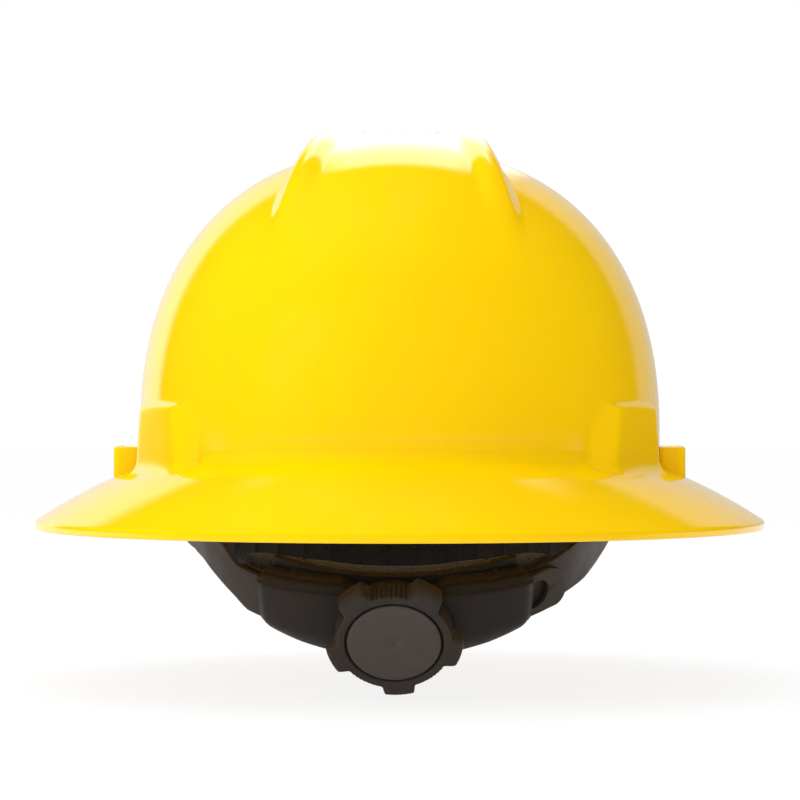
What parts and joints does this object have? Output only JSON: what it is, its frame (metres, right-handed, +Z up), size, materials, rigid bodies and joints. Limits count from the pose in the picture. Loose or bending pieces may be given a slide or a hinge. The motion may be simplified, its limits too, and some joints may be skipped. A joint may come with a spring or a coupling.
{
  "type": "hard hat",
  "caption": "Full brim hard hat with a ridged crown, webbing suspension and a nape ratchet whose knob draws the headband in or lets it out.",
  "frame": {"origin": "middle of the head opening at the height of the brim's edge, where the wearer's head sits", "axes": "+X to the wearer's right, +Y forward, +Z up through the crown"},
  "size_m": [0.29, 0.326, 0.2193],
  "materials": {
    "shell": "glossy yellow moulded polyethylene",
    "housing": "satin dark brown black nylon",
    "arm_nylon": "satin dark nylon",
    "nylon": "satin black nylon",
    "knob": "fine textured dark grey plastic",
    "cap": "fine textured dark grey plastic",
    "pad": "dark foam backed knit",
    "webbing": "black woven webbing",
    "steel": "zinc plated"
  },
  "bodies": {
    "helmet": {"shell": "shell", "key_rear_left": "nylon", "key_rear_right": "nylon", "key_front_left": "nylon", "key_front_right": "nylon", "crown_strap_lower": "webbing", "crown_strap_upper": "webbing", "headband": "nylon", "brow_pad": "pad"},
    "ratchet_body": {"ratchet_housing": "housing", "ratchet_back_plate": "nylon", "back_plate_screws": "steel", "nape_pad": "pad"},
    "knob_body": {"knob": "knob", "knob_cap": "cap", "knob_screw": "steel", "pinion": "nylon", "pawl_spring": "nylon"},
    "left_arm_body": {"left_arm": "arm_nylon"},
    "right_arm_body": {"right_arm": "arm_nylon"}
  },
  "joints": [
    {"name": "size_slide", "type": "slide", "parent": "helmet", "child": "ratchet_body", "axis": [0, 0.866, 0.5], "range_m": [-0.01, 0.01]},
    {"name": "knob_turn", "type": "hinge", "parent": "ratchet_body", "child": "knob_body", "pos_m": [0, -0.09798, -0.03], "axis": [0, 0.8192, 0.5736], "range_deg": [-125, 125]},
    {"name": "left_arm_swing", "type": "hinge", "parent": "helmet", "child": "left_arm_body", "pos_m": [-0.083, -0.0261, 0.0115], "axis": [0, -0.5, 0.866], "range_deg": [-8, 8]},
    {"name": "right_arm_swing", "type": "hinge", "parent": "helmet", "child": "right_arm_body", "pos_m": [0.083, -0.0261, 0.0115], "axis": [0, -0.5, 0.866], "range_deg": [-8, 8]}
  ],
  "couplings": [
    {"joint": "knob_turn", "follows": "size_slide", "rad_per_m": 208.33},
    {"joint": "left_arm_swing", "follows": "size_slide", "rad_per_m": 12.048},
    {"joint": "right_arm_swing", "follows": "size_slide", "rad_per_m": -12.048}
  ]
}
